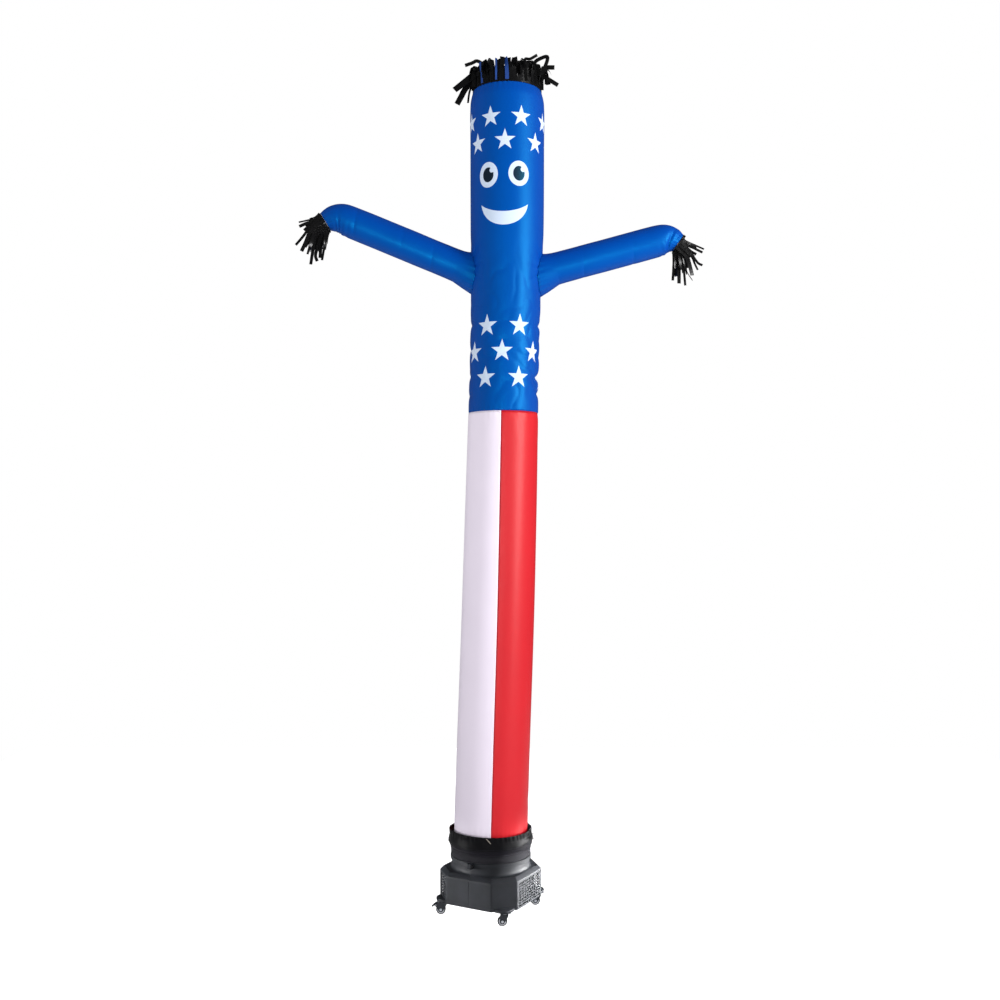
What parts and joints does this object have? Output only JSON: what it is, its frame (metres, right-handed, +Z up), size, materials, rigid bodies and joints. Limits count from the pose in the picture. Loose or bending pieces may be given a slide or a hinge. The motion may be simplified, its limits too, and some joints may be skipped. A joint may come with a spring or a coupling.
{
  "type": "inflatable air dancer on its blower",
  "caption": "Inflated fabric tube figure with raised arms, fringed head and hands and a printed face, standing on a squat electric blower with swivel casters.",
  "frame": {"origin": "on the floor, at the middle of the outline seen from above", "axes": "+Z up along the tube, -Y out of the printed face, +X to the viewer's right when the face is seen from the front"},
  "size_m": [1.6503, 0.4302, 3.3688],
  "materials": {
    "blue": "coated nylon, satin",
    "white": "coated nylon, satin",
    "red": "coated nylon, satin",
    "black": "black nylon and hook tape",
    "plastic": "fine moulded grain",
    "wire": "black coated wire",
    "tyre": "matt",
    "core": "pale moulded",
    "steel": "dark coated pressed steel",
    "zinc": "bright zinc",
    "lever": "black moulded"
  },
  "bodies": {
    "dancer_on_blower": {"upper_tube": "blue", "arm_left": "blue", "arm_right": "blue", "panel_white_front": "white", "panel_white_back": "white", "panel_red_front": "red", "panel_red_back": "red", "head_fringe": "black", "hand_fringe_left": "black", "hand_fringe_right": "black", "base_cuff": "black", "hook_tape": "black", "housing_left": "plastic", "housing_right": "plastic", "base_plate": "plastic", "outlet_guard": "wire", "seam_screw_front": "lever", "seam_screw_back": "lever", "caster_plate_front": "steel", "caster_plate_right": "steel", "caster_plate_back": "steel", "caster_plate_left": "steel"},
    "fork_front": {"caster_fork_front": "steel", "axle_bolt_front": "zinc"},
    "fork_right": {"caster_fork_right": "steel", "axle_bolt_right": "zinc"},
    "fork_back": {"caster_fork_back": "steel", "axle_bolt_back": "zinc"},
    "fork_left": {"caster_fork_left": "steel", "axle_bolt_left": "zinc"},
    "wheel_front": {"tyre_front": "tyre", "wheel_core_front": "core"},
    "wheel_right": {"tyre_right": "tyre", "wheel_core_right": "core"},
    "wheel_back": {"tyre_back": "tyre", "wheel_core_back": "core"},
    "wheel_left": {"tyre_left": "tyre", "wheel_core_left": "core"},
    "brake_back": {"brake_lever_back": "lever"},
    "brake_left": {"brake_lever_left": "lever"}
  },
  "joints": [
    {"name": "swivel_front", "type": "hinge", "parent": "dancer_on_blower", "child": "fork_front", "pos_m": [0.01702, -0.18841, 0.05], "axis": [0, 0, 1], "continuous": true},
    {"name": "swivel_right", "type": "hinge", "parent": "dancer_on_blower", "child": "fork_right", "pos_m": [0.15141, 0.05402, 0.05], "axis": [0, 0, 1], "continuous": true},
    {"name": "swivel_back", "type": "hinge", "parent": "dancer_on_blower", "child": "fork_back", "pos_m": [-0.09102, 0.18841, 0.05], "axis": [0, 0, 1], "continuous": true},
    {"name": "swivel_left", "type": "hinge", "parent": "dancer_on_blower", "child": "fork_left", "pos_m": [-0.22541, -0.05402, 0.05], "axis": [0, 0, 1], "continuous": true},
    {"name": "spin_front", "type": "hinge", "parent": "fork_front", "child": "wheel_front", "pos_m": [0.00902, -0.18841, 0.019], "axis": [0, 1, 0], "continuous": true},
    {"name": "spin_right", "type": "hinge", "parent": "fork_right", "child": "wheel_right", "pos_m": [0.14341, 0.05402, 0.019], "axis": [0, 1, 0], "continuous": true},
    {"name": "spin_back", "type": "hinge", "parent": "fork_back", "child": "wheel_back", "pos_m": [-0.09902, 0.18841, 0.019], "axis": [0, 1, 0], "continuous": true},
    {"name": "spin_left", "type": "hinge", "parent": "fork_left", "child": "wheel_left", "pos_m": [-0.23341, -0.05402, 0.019], "axis": [0, 1, 0], "continuous": true},
    {"name": "brake_back_press", "type": "hinge", "parent": "fork_back", "child": "brake_back", "pos_m": [-0.11902, 0.18841, 0.0375], "axis": [0, -1, 0], "range_deg": [0, 25]},
    {"name": "brake_left_press", "type": "hinge", "parent": "fork_left", "child": "brake_left", "pos_m": [-0.25341, -0.05402, 0.0375], "axis": [0, -1, 0], "range_deg": [0, 25]}
  ]
}
